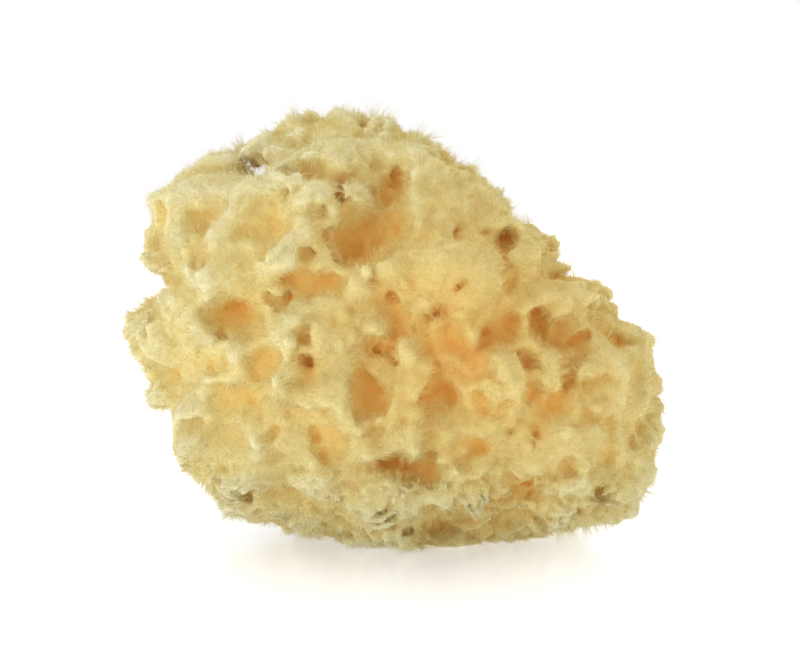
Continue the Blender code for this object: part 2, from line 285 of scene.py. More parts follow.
def skin_normal(direction):
    """The skin's outward normal, from two short steps to the sides of a unit direction."""
    side, other = sideways(direction)
    near = np.array([unit(direction + NORMAL_STEP * step) for step in (side, -side, other, -other)])
    a, b, c, d = skin_points(near)
    return unit(np.cross(a - b, c - d))


def front_direction(x, z):
    """The unit direction from the centre to the front skin at a place x, z of the outline."""
    across = np.array([x, z]) - CENTRE[[0, 2]]
    share = np.hypot(*across) / outline_radius(np.arctan2(across[1], across[0]))
    deep = FRONT_DEPTH * max(1 - min(share, OUTERMOST) ** FULLNESS, 0.0) ** (1 / FULLNESS)
    return unit((across[0], -deep, across[1]))


def spread_directions():
    """Even unit directions over the sides, the back and the top, by the best of many seeded tries."""
    random = np.random.default_rng(FAR_SEED)
    front = [front_direction(x, z) for x, z, *_ in FRONT_HOLLOWS]
    chosen = []
    while len(chosen) < FAR_HOLLOWS:
        tries = random.normal(size=(FAR_TRIES, 3))
        tries /= np.linalg.norm(tries, axis=1)[:, None]
        tries = tries[(tries[:, 1] > FAR_START) & (tries[:, 2] > FAR_LOWEST)]
        nearest = (tries @ np.array(front + chosen).T).max(axis=1)
        chosen.append(tries[nearest.argmin()])
    return chosen


# Folds of the front, as half width, rise and the corners of the line that the fold follows, x and z.
# The first stand on the lump before its hollows are cut, and the others are the hollows' own lips.
FOLD_FADE = 8.0  # how far in front of the middle the folds reach their full height
BROAD_FOLDS = (
    (3.2, 2.4, ((-15, 77.5), (-27, 77.5), (-35, 74), (-43, 70), (-51, 66.5))),
    (3.0, 1.4, ((-8, 78), (0, 78.5), (7, 82))),
    (2.6, 1.6, ((-37, 70), (-35.5, 63), (-33.5, 55))),
    (3.2, 1.8, ((-67.5, 94), (-54, 98.5), (-40.5, 97), (-30, 99.5))),
    (2.8, 1.6, ((-48, 97.5), (-22.5, 101.5), (-15.5, 103))),
    (2.8, 1.6, ((-35, 91), (-24.5, 95), (-17, 92))),
    (2.2, 1.5, ((-62, 78), (-50, 73), (-38, 76), (-30, 84))),
    (3.5, 2.0, ((10, 30), (11, 31))),
    (2.5, 1.6, ((-58, 30), (-40, 27), (-25, 20), (-15, 21))),
    (2.5, 1.4, ((-45, 12), (-38, 27))),
    (1.2, -1.2, ((-32.5, 93.5), (-27, 97))),
    (1.5, -1.6, ((62.5, 35.5), (62, 29.5), (60.5, 23.5))),
    (2.2, 1.2, ((58.5, 36), (58.5, 28), (56.5, 21))),
)
LIPS = (
    (2.2, 1.9, ((-28.5, 59), (-28, 66), (-24.5, 68.5), (-20, 69.5), (-15, 71.5), (-9.5, 71.5), (-6, 70))),
    (2.0, 1.4, ((-15, 58), (-14.5, 51), (-15, 44.5), (-16, 40))),
    (1.5, 2.4, ((4.5, 95), (5.5, 90), (4.5, 86.5), (2.5, 83.5))),
    (2.4, 1.2, ((-10.5, 97.5), (-4, 96), (2.5, 97), (5.5, 95))),
    (1.7, 1.5, ((6.5, 67.5), (11, 54.5), (15, 48), (17.5, 44.5))),
    (2.3, 1.8, ((18, 60.5), (19, 59.5))),
    (1.2, 1.4, ((-25, 54.5), (-25, 54))),
    (1.8, 1.2, ((24, 60), (27, 52), (31, 46))),
    (1.6, 1.2, ((40.5, 64), (39.5, 57), (41, 50))),
)  # fmt: skip


def fold_height(folds):
    """The folds' rise at each x and z: rise times exp(-(distance from the line / half width)**2)."""
    height = np.zeros((len(axes[0]), 1, len(axes[2])), np.float32)
    for half_width, rise, corners in folds:
        nearest = np.inf
        for (x, z), (to_x, to_z) in zip(corners, corners[1:]):
            along_x, along_z = to_x - x, to_z - z
            t = ((grid_x - x) * along_x + (grid_z - z) * along_z) / (along_x**2 + along_z**2)
            t = np.clip(t, 0, 1)
            nearest = np.minimum(nearest, np.hypot(grid_x - x - t * along_x, grid_z - z - t * along_z))
        height += rise * np.exp(-((nearest / half_width) ** 2))
    return height


def box_mean(values, half):
    """The mean over a cube of this half width, by running sums along each axis."""
    cells = int(round(half / CELL))
    for axis in range(3):
        padded = np.pad(values, [(cells + 1, cells) if a == axis else (0, 0) for a in range(3)], mode="edge")
        sums = np.cumsum(padded, axis=axis, dtype=np.float32)
        high = np.take(sums, range(2 * cells + 1, sums.shape[axis]), axis=axis)
        low = np.take(sums, range(0, sums.shape[axis] - 2 * cells - 1), axis=axis)
        values = (high - low) / (2 * cells + 1)
    return values


def window(place, size):
    """The slices of the field within this distance of a place."""
    low = [max(int((p - size - a[0]) / CELL), 0) for p, a in zip(place, axes)]
    high = [max(int((p + size - a[0]) / CELL) + 2, 0) for p, a in zip(place, axes)]
    return tuple(slice(a, b) for a, b in zip(low, high))


def smooth_larger(a, b, rounding):
    """The larger of two distances, rounded over where they are nearly equal."""
    blend = np.clip(0.5 + 0.5 * (a - b) / rounding, 0, 1)
    return b + (a - b) * blend + rounding * blend * (1 - blend)


def carve(body, place, inward, width, height, turn, depth):
    """Takes one hollow out of the field: a ball stretched to its size, whose mouth flares."""
    inward = unit(inward)
    across = unit(np.cross(inward, (0, 0, 1)))
    up = np.cross(across, inward)
    cos, sin = np.cos(np.radians(turn)), np.sin(np.radians(turn))
    across, up = cos * across + sin * up, cos * up - sin * across
    middle = np.asarray(place) + SINK * depth * inward
    part = window(middle, CARVED_SPAN * max(width, height, depth) + CARVED_MARGIN)
    x = grid_x[part[0]] - warp_x[part] - middle[0]
    y = grid_y[:, part[1]] - warp_y[part] - middle[1]
    z = grid_z[:, :, part[2]] - warp_z[part] - middle[2]
    u, v, w = (a[0] * x + a[1] * y + a[2] * z for a in (across, inward, up))
    v = v / depth
    flare = 1 + FLARE * np.clip(FLARE_START - v, 0, 1)
    u, w = u / (flare * width / 2), w / (flare * height / 2)
    size = np.sqrt(u * u + v * v + w * w) + 1e-4
    slope = np.sqrt((2 * u / width) ** 2 + (v / depth) ** 2 + (2 * w / height) ** 2) / size
    gap = (size - 1) / np.maximum(slope, LEAST_SLOPE)
    body[part] = smooth_larger(body[part], -gap.astype(np.float32), RIM_ROUNDING * min(width, height))


warp_x, warp_y, warp_z = (
    WARP_REACH * wave_sum(grid_x, grid_y, grid_z, WARP_SEED + axis, WARP_WAVES, WARP_LENGTHS)
    for axis in range(3)
)
front_share = np.clip(-from_y / FOLD_FADE, 0, 1)
body = hull - fold_height(BROAD_FOLDS) * front_share
for x, z, width, height, turn, depth in FRONT_HOLLOWS + FRONT_PITS:
    direction = front_direction(x, z)
    inward = STRAIGHT_IN * np.array([0, 1, 0]) - (1 - STRAIGHT_IN) * skin_normal(direction)
    carve(body, skin_points(direction[None])[0], inward, width, height, turn, depth)
for x, y, z, width, height, turn, depth in RIM_HOLLOWS:
    carve(body, (x, y, z), (0, 1, 0), width, height, turn, depth)
random = np.random.default_rng(FAR_SEED)
for direction in spread_directions():
    width = random.uniform(*FAR_WIDTHS)
    height = width * random.uniform(*FAR_FLATNESS)
    depth = random.uniform(*FAR_DEPTHS)
    turn = random.uniform(0, 180)
    place = skin_points(direction[None])[0]
    depth *= FAR_SHALLOWEST + (1 - FAR_SHALLOWEST) * abs(direction[1])
    carve(body, place, -skin_normal(direction), width, height, turn, depth)

random = np.random.default_rng(PIT_SEED)
strewn = [unit(direction) for direction in random.normal(size=(PITS, 3)) if unit(direction)[1] > FAR_START]
dense = random.normal(DENSE_MIDDLE, DENSE_REACH, size=(DENSE_PITS, 2))
for direction in strewn + [front_direction(x, z) for x, z in dense]:
    if direction[2] > FAR_LOWEST:
        width, depth = random.uniform(*PIT_WIDTHS), random.uniform(*PIT_DEPTHS)
        height = width * random.uniform(*FAR_FLATNESS)
        place = skin_points(direction[None])[0]
        carve(body, place, -skin_normal(direction), width, height, random.uniform(0, 180), depth)

body -= fold_height(LIPS) * front_share
for _ in range(FELTING_ROUNDS):
    body = box_mean(body, CELL)

# The felted surface
# Between its channels the fibre is felted into soft tufts with creases between them, and small
# pores run everywhere. Near the foot the tufts overlap in flat scalloped flakes, and round the rim
# of the outline they stand out as small blunt fronds.
FLAKE_SIZE = (7.0, 5.2)  # width of a flake at the foot, and height from one row to the next
FLAKE_THICKNESS = 2.5
FLAKE_ROWS = 6
FLAKES_END = (16.0, 29.0)  # between these heights the flakes fade out
FLAKE_RADIUS = 55.0  # the distance from the middle where the flakes have their width
FLAKE_SHIFT = 0.37  # how far a row is shifted against the one below, as a share of a flake
FLAKE_SCALLOP = 0.45  # how deep the lower edge is scalloped, as a share of a row
FLAKE_FADE = 1.5  # the rows over which a flake thins out upwards
FLAKE_EDGE = 0.7  # the height over which the lower edge reaches its thickness
FLAKE_WOBBLE = (3.5, 2.0)  # how far the rows wander sideways and up, for each millimetre of warp


def flake_height():
    """How far the flakes stand out: in each row a thick scalloped lower edge that thins upwards."""
    wide, high = FLAKE_SIZE
    around = np.arctan2(from_x, -from_y) * FLAKE_RADIUS + FLAKE_WOBBLE[0] * warp_x
    up = grid_z + FLAKE_WOBBLE[1] * warp_z
    height = np.zeros(body.shape, np.float32)
    for row in range(FLAKE_ROWS):
        scallop = np.abs(np.sin(np.pi * (around / wide + FLAKE_SHIFT * row)))
        above = (up - high * (row + FLAKE_SCALLOP * scallop)) / high
        flake = np.clip(1 - above / FLAKE_FADE, 0, 1) * np.clip(above * high / FLAKE_EDGE, 0, 1)
        height = np.maximum(height, flake)
    low, top = FLAKES_END
    return FLAKE_THICKNESS * height * np.clip((top - grid_z) / (top - low), 0, 1)


body -= flake_height()
SWELL_SEED = 39
SWELL_SPACING = 9.0
SWELL_HEIGHT = 0.9
TUFTS = ((5.0, 0.3), (2.3, 0.38))  # spacing of the tufts and height of each size
TUFT_SEED = 40
TUFT_MEAN = 0.8  # the noise's mean size, so that the tufts leave the lump as large as it was
ROUGHER = 0.3  # how much higher, as a share, the tufts are away from the middle of the front
ROUGHER_END = 25.0  # how far in front of the middle the tufts are down to their height
NAP_THICKNESS = 0.7  # how much of the lump's size is the loose nap and not the felt under it
body += NAP_THICKNESS + SWELL_HEIGHT * soft_noise(SWELL_SEED, SWELL_SPACING)
rougher = 1 + ROUGHER * np.clip(1 + from_y / ROUGHER_END, 0, 1)
for number, (spacing, height) in enumerate(TUFTS):
    body += height * rougher * (TUFT_MEAN - np.abs(soft_noise(TUFT_SEED + number, spacing)))

# The fronds, as waves over the directions from the centre, so that each points straight out
FROND_SEED = 80
FROND_WAVES = 54
FROND_WIDTHS = (3.0, 9.0)
FROND_HEIGHT = 1.0
FROND_REACH = 24.0  # how far to the front and the back of the rim the fronds fade out
FROND_RADIUS = 60.0  # the distance from the centre where the fronds have their widths
FROND_RANGE = (-0.8, 2.2)
outwards = [FROND_RADIUS * across / length for across in (from_x, from_y, from_z)]
fronds = wave_sum(*outwards, FROND_SEED, FROND_WAVES, FROND_WIDTHS) / np.sqrt(FROND_WAVES / 2)
body -= FROND_HEIGHT * np.clip(fronds, *FROND_RANGE) * np.exp(-((from_y / FROND_REACH) ** 2))
del length, outwards, fronds

# The pores
PORE_SEED = 50
PORE_SPACING = 3.4
PORE_DEPTH = 2.2
PORE_START = 1.15
pores = np.clip(soft_noise(PORE_SEED, PORE_SPACING) - PORE_START, 0, 1)
body += PORE_DEPTH * pores

# The ragged foot, which bears on the floor in its middle only
FOOT_SEED = 55
FOOT_GAP = 5.5  # how far the ragged front edge of the foot stands off the floor
FOOT_FADE = 8.0  # how far behind the middle the gap has faded out
FOOT_NOISES = ((5.5, 0.7), (5.5 / 2.4, 1.3))  # spacing of the ragged edge's teeth, and how strong
FOOT_RAISED = 0.5  # the gap's middle, as a share of the whole, and how far the teeth change it
FOOT_TEETH = 0.55
FOOT_LIMITS = (0.1, 1.4)
CONTACT, CONTACT_REACH = 14.0, 10.0  # the x where the front edge does reach the floor
edge_share = np.clip((FOOT_FADE - from_y) / (2 * FOOT_FADE), 0, 1)
edge_share = edge_share * (1 - np.exp(-(((grid_x - CONTACT) / CONTACT_REACH) ** 2)))
raggedness = sum(
    strength * soft_noise(FOOT_SEED + n, spacing) for n, (spacing, strength) in enumerate(FOOT_NOISES)
)
raised = FOOT_GAP * edge_share * np.clip(FOOT_RAISED + FOOT_TEETH * raggedness, *FOOT_LIMITS)
body = np.maximum(body, raised - grid_z)


def surface_net(values, low, cell):
    """A closed skin of quads where the field is zero. A cell that the skin crosses holds one
    point, the mean of the crossings on the cell's edges, and each crossed grid edge one quad."""
    inside = values < 0
    size = np.array(values.shape) - 1
    total = np.zeros((*size, 3), np.float32)
    count = np.zeros(size, np.float32)
    quads = []
    for axis in range(3):
        near = [slice(None)] * 3
        far = [slice(None)] * 3
        near[axis], far[axis] = slice(None, -1), slice(1, None)
        a, b = values[tuple(near)], values[tuple(far)]
        crossed = np.argwhere(inside[tuple(near)] != inside[tuple(far)])
        start, end = a[tuple(crossed.T)], b[tuple(crossed.T)]
        point = crossed.astype(np.float32)
        point[:, axis] += start / (start - end)
        side, other = (axis + 1) % 3, (axis + 2) % 3
        inner = (crossed[:, side] > 0) & (crossed[:, other] > 0)
        inner &= (crossed[:, side] < size[side]) & (crossed[:, other] < size[other])
        crossed, point, start = crossed[inner], point[inner], start[inner]
        corners = []
        for step_side, step_other in ((1, 1), (0, 1), (0, 0), (1, 0)):
            cell_at = crossed.copy()
            cell_at[:, side] -= step_side
            cell_at[:, other] -= step_other
            flat = np.ravel_multi_index(tuple(cell_at.T), size)
            np.add.at(count.reshape(-1), flat, 1)
            np.add.at(total.reshape(-1, 3), flat, point)
            corners.append(flat)
        corners = np.stack(corners, 1)
        corners[start >= 0] = corners[start >= 0, ::-1]
        quads.append(corners)
    quads = np.concatenate(quads)
    used = np.flatnonzero(count)
    order = np.zeros(count.size, int)
    order[used] = np.arange(len(used))
    points = total.reshape(-1, 3)[used] / count.reshape(-1)[used, None]
    return low + points * cell, order[quads]


def largest_piece(points, quads):
    """The points and quads of the largest joined piece: each point takes the lowest label near it."""
    label = np.arange(len(points))
    a, b = quads[:, [0, 1, 2]].ravel(), quads[:, [1, 2, 3]].ravel()
    while True:
        lowest = np.minimum(label[a], label[b])
        before = label.copy()
        np.minimum.at(label, a, lowest)
        np.minimum.at(label, b, lowest)
        label = label[label]
        if (label == before).all():
            break
    keep = label == np.bincount(label).argmax()
    order = np.cumsum(keep) - 1
    return points[keep], order[quads[keep[quads[:, 0]]]]


def make_piece(name, points, faces):
    """A linked mesh object from points in millimetres and equal-sized faces."""
    mesh = bpy.data.meshes.new(name)
    corners = faces.shape[1]
    mesh.vertices.add(len(points))
    mesh.vertices.foreach_set("co", (points * MM).astype(np.float32).ravel())
    mesh.loops.add(faces.size)
    mesh.loops.foreach_set("vertex_index", faces.astype(np.int32).ravel())
    mesh.polygons.add(len(faces))
    mesh.polygons.foreach_set("loop_start", np.arange(0, faces.size, corners, dtype=np.int32))
    mesh.polygons.foreach_set("loop_total", np.full(len(faces), corners, dtype=np.int32))
    mesh.update(calc_edges=True)
    mesh.validate()
    made = bpy.data.objects.new(name, mesh)
    bpy.context.scene.collection.objects.link(made)
    return made


def sample(values, points):
    """The field's values at points in millimetres, by straight blending in each cell."""
    steps = (points - FIELD_LOW) / CELL
    index = np.clip(np.floor(steps).astype(int), 0, np.array(values.shape) - 2)
    t = (steps - index).astype(np.float32)
    found = 0
    for corner in np.ndindex(2, 2, 2):
        share = np.prod(np.where(corner, t, 1 - t), axis=1)
        found = found + share * values[tuple((index + corner).T)]
    return found


SKIN_TRIANGLES = 194000
points, quads = largest_piece(*surface_net(body, FIELD_LOW, CELL))
rough = make_piece("rough_skin", points, quads)
thin = rough.modifiers.new("thin", "DECIMATE")
thin.ratio = min(SKIN_TRIANGLES / (2 * len(quads)), 1.0)
skin_mesh = bpy.data.meshes.new_from_object(rough.evaluated_get(bpy.context.evaluated_depsgraph_get()))
bpy.data.objects.remove(rough)
skin_mesh.name = "sponge_skin"
skin = bpy.data.objects.new("sponge_skin", skin_mesh)
bpy.context.scene.collection.objects.link(skin)
skin_mesh.shade_smooth()

# How deep each point of the skin lies: under the grown lump's outside, and among its neighbours.
# The tone made from it is partly the fibre's own deeper colour in the hollows and partly painted
# shade, darker and more orange where fibre closes round the skin and in narrow creases.
CAVITY_REACH = 6.4  # half width of the box whose share of fibre is measured
CREASE_REACH = 2.4  # and of the box that finds the creases
CREASE_STEP = 1.5  # how far out in front of the skin that box stands
DEEPEST = 16.0  # the depth under the lump's outside where the colour is deepest
CENTRE_DEEPENING = 0.28  # how much deeper the colour is made round the middle of the closest cells
DEEPENING_MIDDLE = (22.0, 58.0)
DEEPENING_REACH = (46.0, 38.0)
CAVITY_FIBRE = (0.25, 0.5)  # the share of fibre where a hollow starts, and how much more ends it
CREASE_FIBRE = (0.25, 0.35)
# How much each of the three counts in the tone; the cavity and the crease shares are painted shade
DEPTH_SHARE, CAVITY_SHARE, CREASE_SHARE = 0.32, 0.3, 0.25

fibre_share = box_mean((body < 0).astype(np.float32), CAVITY_REACH)
crease_share = box_mean((body < 0).astype(np.float32), CREASE_REACH)
slope = [np.gradient(body, CELL, axis=axis) for axis in range(3)]
skin_at = np.empty(len(skin_mesh.vertices) * 3, np.float32)
skin_mesh.vertices.foreach_get("co", skin_at)
skin_at = skin_at.reshape(-1, 3) / MM


def store(mesh, name, values):
    """Keeps one number for each point as an attribute."""
    layer = mesh.attributes.new(name, "FLOAT", "POINT")
    layer.data.foreach_set("value", np.asarray(values, np.float32).ravel())


def rising(values, start, span):
    """0 up to start, 1 from start plus span on, and straight between them."""
    return np.clip((values - start) / span, 0, 1)


def rows_unit(vectors):
    """Each row at length 1."""
    return vectors / (np.linalg.norm(vectors, axis=1)[:, None] + 1e-9)


def outward_at(points):
    """The unit direction in which the distance grows at each point."""
    return rows_unit(np.stack([sample(s, points) for s in slope], 1))


def tone_and_painted_shade_at(points):
    """0 on the outermost ridges to 1 in the deepest hollows: a weighted sum of the depth under the
    grown lump's outside, of how much fibre stands round the place, of how narrow the crease in
    front of it is, and of how near it lies to the middle of the closest cells. The fibre round the
    place and the crease paint shade into the colour, where the skin is hemmed in."""
    in_front = points + CREASE_STEP * outward_at(points)
    depth = np.clip(-sample(hull, points) / DEEPEST, 0, 1)
    cavity = rising(sample(fibre_share, points), *CAVITY_FIBRE)
    crease = rising(sample(crease_share, in_front), *CREASE_FIBRE)
    deepened = np.exp(-((((points[:, ::2] - DEEPENING_MIDDLE) / DEEPENING_REACH) ** 2).sum(1)))
    tone = DEPTH_SHARE * depth + CAVITY_SHARE * cavity + CREASE_SHARE * crease + CENTRE_DEEPENING * deepened
    return np.clip(tone, 0, 1)


# the tone, with its painted shade of the hollows and creases, is kept on each point of the skin
store(skin_mesh, "tone", tone_and_painted_shade_at(skin_at))

# The fibre's colours: the tone, and the colour there. The deeper stops, darker and more orange, are
# partly the fibre's own colour and partly painted shade of the hollows and creases.
TONES = (
    (0.00, (0.785, 0.735, 0.47, 1)),
    (0.16, (0.80, 0.69, 0.33, 1)),
    (0.38, (0.81, 0.63, 0.24, 1)),
    (0.65, (0.86, 0.57, 0.175, 1)),
    (0.95, (0.90, 0.49, 0.115, 1)),
)
SPECKLE_SIZE = 0.8
SPECKLE = (-0.26, 0.22)  # how much darker and lighter the speckles are on the ridges
SPECKLE_DEEP = 0.1  # the share of it that is left in the deepest hollows
MOTTLE_SIZE = 2.2
MOTTLE = (-0.08, 0.08)  # how far the tone wanders
FELT_HEIGHT = 0.6


def spongin_group():
    """Node group: the fibre's colour, from pale cream on the ridges (Tone 0) to a darker orange tan in
    the depths (Tone 1), partly painted shade, made lighter or darker by Shade, where 1 leaves it as it is."""
    group = bpy.data.node_groups.new("spongin colour", "ShaderNodeTree")
    group.interface.new_socket("Tone", in_out="INPUT", socket_type="NodeSocketFloat")
    group.interface.new_socket("Shade", in_out="INPUT", socket_type="NodeSocketFloat")
    group.interface.new_socket("Colour", in_out="OUTPUT", socket_type="NodeSocketColor")
    start = group.nodes.new("NodeGroupInput")
    end = group.nodes.new("NodeGroupOutput")
    ramp = group.nodes.new("ShaderNodeValToRGB")
    stops = ramp.color_ramp.elements
    stops[0].position, stops[0].color = TONES[0]
    stops[1].position, stops[1].color = TONES[-1]
    for position, color in TONES[1:-1]:
        stops.new(position).color = color
    shade = group.nodes.new("ShaderNodeVectorMath")
    shade.operation = "SCALE"
    group.links.new(start.outputs["Tone"], ramp.inputs[0])
    group.links.new(ramp.outputs["Color"], shade.inputs[0])
    group.links.new(start.outputs["Shade"], shade.inputs["Scale"])
    group.links.new(shade.outputs[0], end.inputs["Colour"])
    return group


def new_material(name):
    """A material with its node tree, and the shader in it."""
    material = bpy.data.materials.new(name)
    material.use_nodes = True
    return material, material.node_tree, material.node_tree.nodes["Principled BSDF"]


def noise_node(tree, position, size, detail):
    """A noise texture whose lumps are about this many millimetres across."""
    noise = tree.nodes.new("ShaderNodeTexNoise")
    noise.inputs["Scale"].default_value = 1 / (size * MM)
    noise.inputs["Detail"].default_value = detail
    tree.links.new(position, noise.inputs["Vector"])
    return noise.outputs["Fac"]


def spread(tree, value, low, high):
    """The value's 0 to 1 spread from low to high."""
    node = tree.nodes.new("ShaderNodeMapRange")
    node.inputs["To Min"].default_value = low
    node.inputs["To Max"].default_value = high
    tree.links.new(value, node.inputs["Value"])
    return node.outputs[0]


spongin = spongin_group()
skin_material, tree, shader = new_material("spongin felt")
shader.inputs["Roughness"].default_value = 0.95
shader.inputs["Specular IOR Level"].default_value = 0.1
shader.inputs["Subsurface Weight"].default_value = 0.85
shader.inputs["Subsurface Radius"].default_value = (1.0, 0.9, 0.8)
shader.inputs["Subsurface Scale"].default_value = 0.002
place = tree.nodes.new("ShaderNodeTexCoord").outputs["Object"]
# the tone attribute brings the painted shade of the hollows and creases into the base colour
tone = tree.nodes.new("ShaderNodeAttribute")
tone.attribute_name = "tone"
speckle = tree.nodes.new("ShaderNodeMath")
speckle.operation = "MULTIPLY_ADD"
tree.links.new(spread(tree, noise_node(tree, place, SPECKLE_SIZE, 4), *SPECKLE), speckle.inputs[0])
tree.links.new(spread(tree, tone.outputs["Fac"], 1.0, SPECKLE_DEEP), speckle.inputs[1])
speckle.inputs[2].default_value = 1.0
mottle = tree.nodes.new("ShaderNodeMath")
tree.links.new(tone.outputs["Fac"], mottle.inputs[0])
tree.links.new(spread(tree, noise_node(tree, place, MOTTLE_SIZE, 4), *MOTTLE), mottle.inputs[1])
colour = tree.nodes.new("ShaderNodeGroup")
colour.node_tree = spongin
tree.links.new(mottle.outputs[0], colour.inputs["Tone"])
tree.links.new(speckle.outputs[0], colour.inputs["Shade"])
tree.links.new(colour.outputs["Colour"], shader.inputs["Base Color"])
felt = tree.nodes.new("ShaderNodeBump")
felt.inputs["Strength"].default_value = 0.8
felt.inputs["Distance"].default_value = FELT_HEIGHT * MM
tree.links.new(noise_node(tree, place, SPECKLE_SIZE, 5), felt.inputs["Height"])
tree.links.new(felt.outputs["Normal"], shader.inputs["Normal"])
skin_mesh.materials.clear()
skin_mesh.materials.append(skin_material)
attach(skin, "root")
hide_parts("sponge")

# The nap
# The loose ends of the felted fibres, which stand off the skin as a short curly fuzz. They lean
# together in small tufts, are longest on the ridges, and wear almost bare in the hollows.
NAP_SEED = 60
NAP_PIECES = 3
FIBRES_IN_PIECE = 62000
FIBRE_SHARES = (0.45, 1.1)  # a fibre's length as a share of its lock's
FIBRE_WIDTH = 0.09
FIBRE_LEAN = 0.4  # how far the tufts lean, against 1 for straight out
FIBRE_CURL = 0.7  # how far the outer half turns its own way, in the same measure
LEAN_SPACING = 4.0
FLOOR_GAP = 0.05  # how far above the floor the lowest fibres are held
LOCKS = 26000  # small pointed locks that the fibres' ends gather in
LOCK_LENGTHS = (1.2, 4.2)
LOCK_RARITY = 1.5  # the higher, the fewer the locks that reach the full length
GATHER = 0.5  # how far a fibre's end is drawn to its lock's point
FUZZ_PIECES = 2
FUZZ_IN_PIECE = 190000
FUZZ_LENGTHS = (0.4, 1.5)
FUZZ_WIDTH = 0.06
BARE_FIBRE = (0.48, 0.26)  # the share of fibre where the nap starts to wear off, and how much more ends it
BARE_SHORTER = 0.7  # how much of its length a fibre has lost where the nap is worn
LENGTH_SPACING = 3.4  # patches of longer and shorter nap
LENGTH_SWING = 0.4
LENGTH_RANGE = (-1, 2)
ROOT_DEPTH = 0.15
SPREADS = (0.4, 0.5)  # how far each fibre of the locks, and of the fuzz, leans its own way
LOWEST_ROOT = 0.3
MIDDLE_WIDTH = 0.7  # a fibre's width half way, against the root's
MIDDLE_GATHER = 0.4  # how far its middle is drawn to the point, against its end
GATHER_REACH = 3  # how far off, in fibre lengths, a lock still draws
NAP_SHADES = (0.86, 1.14)
CHART_EDGE = 0.01

lean_field = [soft_noise(NAP_SEED + 1 + axis, LEAN_SPACING) for axis in range(3)]
length_field = soft_noise(NAP_SEED + 4, LENGTH_SPACING)
skin_mesh.calc_loop_triangles()
corners = np.empty(len(skin_mesh.loop_triangles) * 3, np.int32)
skin_mesh.loop_triangles.foreach_get("vertices", corners)
corners = skin_at[corners].reshape(-1, 3, 3)
areas = np.linalg.norm(np.cross(corners[:, 1] - corners[:, 0], corners[:, 2] - corners[:, 0]), axis=1) / 2


def bareness(points):
    """0 where the nap stands free to 1 deep in the hollows, where it has worn off."""
    return rising(sample(fibre_share, points), *BARE_FIBRE)


def scatter(count, random):
    """Points spread evenly at random over the skin, more of them on the ridges than in the hollows."""
    triangle = random.choice(len(areas), count * 3, p=areas / areas.sum())
    a, b = np.sqrt(random.random(len(triangle))), random.random(len(triangle))
    weights = np.stack((1 - a, a * (1 - b), a * b), 1)
    places = (corners[triangle] * weights[:, :, None]).sum(1)
    keep = (random.random(len(places)) > bareness(places)) & (places[:, 2] > LOWEST_ROOT)
    places = places[keep][:count]
    lean = np.stack([sample(f, places) for f in lean_field], 1)
    return places, tone_and_painted_shade_at(places), bareness(places), outward_at(places), lean


def lock_points():
    """The points of the locks: each stands off the skin by its own length and leans with its tuft."""
    random = np.random.default_rng(NAP_SEED)
    places, _, bare, outward, lean = scatter(LOCKS, random)
    shortest, longest = LOCK_LENGTHS
    length = shortest + (longest - shortest) * random.random(len(places)) ** LOCK_RARITY
    length *= 1 - BARE_SHORTER * bare
    length *= 1 + LENGTH_SWING * np.clip(sample(length_field, places), *LENGTH_RANGE)
    points = places + length[:, None] * rows_unit(outward + FIBRE_LEAN * lean)
    tree = mathutils.kdtree.KDTree(len(points))
    for index, place in enumerate(places):
        tree.insert(place, index)
    tree.balance()
    return points, length, tree


def nap_piece(number):
    """One share of the fibres: each is a tapering ribbon of two lengths, rooted at random on the
    skin, that leans with its tuft and then curls its own way."""
    random = np.random.default_rng(NAP_SEED + 10 * number)
    roots, tone, _, outward, lean = scatter(FIBRES_IN_PIECE, random)
    count = len(roots)
    first = rows_unit(outward + FIBRE_LEAN * lean + SPREADS[0] * random.normal(size=(count, 3)))
    second = rows_unit(first + FIBRE_CURL * random.normal(size=(count, 3)))
    near = np.array([lock_tree.find(root)[1] for root in roots])
    length = (lock_lengths[near] * random.uniform(*FIBRE_SHARES, count))[:, None]
    side = rows_unit(np.cross(first, random.normal(size=(count, 3))))
    facing = np.sign((np.cross(side, first) * outward).sum(1))[:, None]
    side = side * np.where(facing == 0, 1, facing) * FIBRE_WIDTH / 2
    root = roots - ROOT_DEPTH * first
    middle = roots + 0.5 * length * first
    tip = middle + 0.5 * length * second
    lock_off = np.linalg.norm(locks[near] - roots, axis=1)[:, None]
    pull = GATHER * (lock_off < GATHER_REACH * length)
    middle += MIDDLE_GATHER * pull * (locks[near] - middle)
    tip += pull * (locks[near] - tip)
    narrow = MIDDLE_WIDTH * side
    points = np.stack((root - side, root + side, middle - narrow, middle + narrow, tip), 1)
    points[:, :, 2] = np.maximum(points[:, :, 2], FLOOR_GAP)
    start = 5 * np.arange(count)[:, None]
    faces = np.concatenate([start + np.array(f) for f in ((0, 1, 3), (0, 3, 2), (2, 3, 4))])
    piece = make_piece(f"nap_{number + 1}", points.reshape(-1, 3), faces)
    return piece, tone, random.random(count)


def fuzz_piece(number):
    """One share of the short fuzz between the locks: each fibre is a single narrow triangle."""
    random = np.random.default_rng(NAP_SEED + 5 + 10 * number)
    roots, tone, bare, outward, lean = scatter(FUZZ_IN_PIECE, random)
    count = len(roots)
    along = rows_unit(outward + FIBRE_LEAN * lean + SPREADS[1] * random.normal(size=(count, 3)))
    length = (random.uniform(*FUZZ_LENGTHS, count) * (1 - BARE_SHORTER * bare))[:, None]
    side = rows_unit(np.cross(along, random.normal(size=(count, 3)))) * FUZZ_WIDTH / 2
    side *= np.where((np.cross(side, along) * outward).sum(1) < 0, -1, 1)[:, None]
    root = roots - ROOT_DEPTH * along
    points = np.stack((root - side, root + side, roots + length * along), 1)
    points[:, :, 2] = np.maximum(points[:, :, 2], FLOOR_GAP)
    piece = make_piece(f"fuzz_{number + 1}", points.reshape(-1, 3), np.arange(3 * count).reshape(-1, 3))
    return piece, tone, random.random(count)


